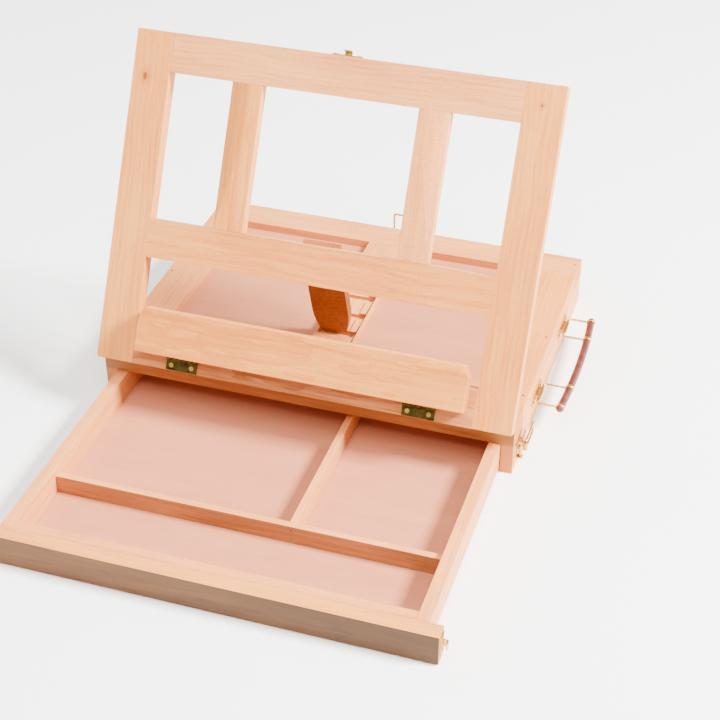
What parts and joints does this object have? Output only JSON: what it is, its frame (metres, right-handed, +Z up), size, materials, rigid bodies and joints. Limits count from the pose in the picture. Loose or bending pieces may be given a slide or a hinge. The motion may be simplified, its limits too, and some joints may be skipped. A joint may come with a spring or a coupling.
{
  "type": "table easel box",
  "caption": "Beech table easel: a flat case with a divided drawer and notched deck, a leaning frame on a prop strut with a canvas ledge, a side handle and draw latches.",
  "frame": {"origin": "centre of the case's footprint, on the flat underside it stands on", "axes": "+X to the right as the user sees it, +Y to the rear, +Z up; the drawer pulls out along -Y"},
  "size_m": [0.3739, 0.4849, 0.2826],
  "materials": {
    "case_beech": "oiled beech, pinkish cream, satin",
    "frame_beech": "oiled beech, light, fine flecked grain",
    "drawer_beech": "oiled beech, slightly darker",
    "strut_beech": "oiled beech, warm",
    "plywood": "thin plywood, unvarnished",
    "brass": "brass plated steel, slightly tarnished",
    "leatherette": "red-brown, matt",
    "nail_steel": "small nail heads"
  },
  "bodies": {
    "case": {"case_left_wall": "case_beech", "case_right_wall": "case_beech", "case_back_wall": "case_beech", "case_base": "plywood", "deck_front_rail": "case_beech", "deck_rear_rail": "case_beech", "deck_left_rail": "case_beech", "deck_right_rail": "case_beech", "deck_centre_stile": "case_beech", "deck_left_panel": "plywood", "deck_right_panel": "plywood", "deck_nails": "nail_steel", "main_hinge_case_leaves": "brass", "handle_bracket_front": "brass", "handle_bracket_rear": "brass", "handle_bracket_screws": "brass", "side_latch_base": "brass", "rear_latch_base": "brass"},
    "drawer": {"drawer_front": "drawer_beech", "drawer_inner_front": "drawer_beech", "drawer_left_side": "drawer_beech", "drawer_right_side": "drawer_beech", "drawer_back": "drawer_beech", "drawer_floor": "plywood", "drawer_cross_divider": "drawer_beech", "drawer_long_divider": "drawer_beech", "divider_nails": "nail_steel", "drawer_hook": "brass"},
    "easel_frame": {"frame_left_stile": "frame_beech", "frame_right_stile": "frame_beech", "frame_top_rail": "frame_beech", "frame_mid_rail": "frame_beech", "frame_bottom_rail": "frame_beech", "frame_left_slat": "frame_beech", "frame_right_slat": "frame_beech", "frame_hook": "brass", "main_hinge_frame_leaves": "brass", "ledge_hinge_frame_leaves": "brass", "ledge_hinge_screws": "brass", "strut_hinge_frame_leaf": "brass"},
    "ledge": {"ledge_board": "frame_beech", "ledge_hinge_board_leaves": "brass"},
    "strut": {"strut_board": "strut_beech", "strut_hinge_strut_leaf": "brass"},
    "handle": {"handle_loop_front": "brass", "handle_loop_rear": "brass", "handle_grip": "leatherette"},
    "side_latch_arm": {"side_latch_lever": "brass"},
    "side_latch_wire": {"side_latch_loop": "brass"},
    "rear_latch_arm": {"rear_latch_lever": "brass"},
    "rear_latch_wire": {"rear_latch_loop": "brass"}
  },
  "joints": [
    {"name": "drawer_slide", "type": "slide", "parent": "case", "child": "drawer", "axis": [0, 1, 0], "range_m": [-0.018, 0.202]},
    {"name": "frame_tilt", "type": "hinge", "parent": "case", "child": "easel_frame", "pos_m": [0, -0.1314, 0.0434], "axis": [1, 0, 0], "range_deg": [-61.6, 2.5]},
    {"name": "strut_fold", "type": "hinge", "parent": "easel_frame", "child": "strut", "pos_m": [-0.0028, -0.07874, 0.14395], "axis": [1, 0, 0], "range_deg": [-6, 136]},
    {"name": "ledge_fold", "type": "hinge", "parent": "easel_frame", "child": "ledge", "pos_m": [0, -0.14108, 0.05682], "axis": [1, 0, 0], "range_deg": [0, 90]},
    {"name": "handle_swing", "type": "hinge", "parent": "case", "child": "handle", "pos_m": [0.1761, 0, 0.022], "axis": [0, 1, 0], "range_deg": [-82, 55]},
    {"name": "side_latch_lever_turn", "type": "hinge", "parent": "case", "child": "side_latch_arm", "pos_m": [0.1757, -0.118, 0.016], "axis": [0, 0, -1], "range_deg": [0, 150]},
    {"name": "side_latch_loop_turn", "type": "hinge", "parent": "side_latch_arm", "child": "side_latch_wire", "pos_m": [0.1785, -0.113, 0.016], "axis": [0, 0, -1], "range_deg": [0, 30]},
    {"name": "rear_latch_lever_turn", "type": "hinge", "parent": "case", "child": "rear_latch_arm", "pos_m": [0, 0.1342, 0.031], "axis": [1, 0, 0], "range_deg": [0, 120]},
    {"name": "rear_latch_loop_turn", "type": "hinge", "parent": "rear_latch_arm", "child": "rear_latch_wire", "pos_m": [0, 0.137, 0.026], "axis": [-1, 0, 0], "range_deg": [0, 138]}
  ],
  "couplings": [
    {"joint": "strut_fold", "follows": "frame_tilt", "ratio": -2.2008},
    {"joint": "rear_latch_loop_turn", "follows": "rear_latch_lever_turn", "ratio": 1.15}
  ]
}
